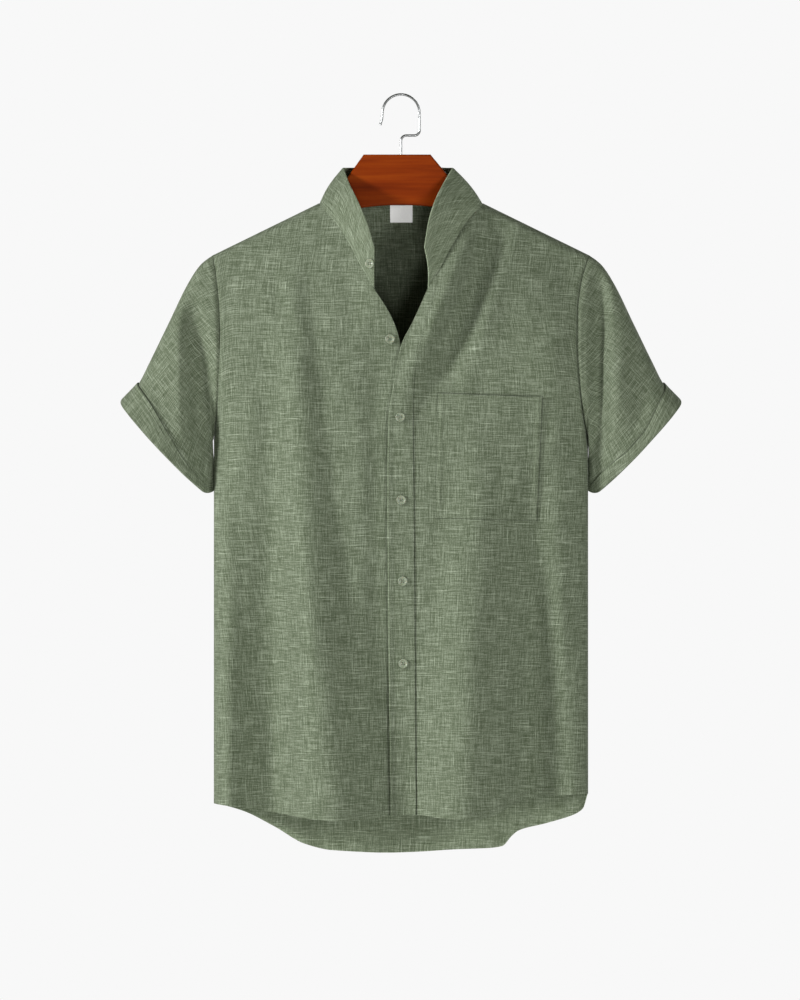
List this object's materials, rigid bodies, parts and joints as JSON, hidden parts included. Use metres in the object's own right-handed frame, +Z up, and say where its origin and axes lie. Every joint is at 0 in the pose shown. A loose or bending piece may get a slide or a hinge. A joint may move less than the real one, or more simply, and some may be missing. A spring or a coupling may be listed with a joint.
{
  "type": "mandarin collar shirt on a wooden hanger",
  "caption": "Short-sleeved button-front shirt with a stand collar, one chest pocket and turned-up cuffs, hanging from a wooden hanger with a wire hook.",
  "frame": {"origin": "inside the crown of the hanger's hook, where a rail touches it", "axes": "+Z up, the shirt faces -Y, and the wearer's left side is +X"},
  "size_m": [0.6484, 0.1203, 0.8768],
  "materials": {
    "cloth": "sage green linen-look weave, matt",
    "wood": "stained and lacquered reddish brown wood",
    "metal": "plain bright wire",
    "button": "pale grey-green moulded resin, satin",
    "label": "plain pale woven ribbon, blank"
  },
  "bodies": {
    "root": {"front_left": "cloth", "front_right": "cloth", "back": "cloth", "sleeve_left": "cloth", "sleeve_right": "cloth", "cuff_left": "cloth", "cuff_right": "cloth", "collar": "cloth", "placket": "cloth", "pocket": "cloth", "label": "label", "button_1": "button", "button_2": "button", "button_3": "button", "button_4": "button", "button_5": "button", "button_collar": "button", "hanger": "wood", "hook": "metal"}
  },
  "joints": []
}
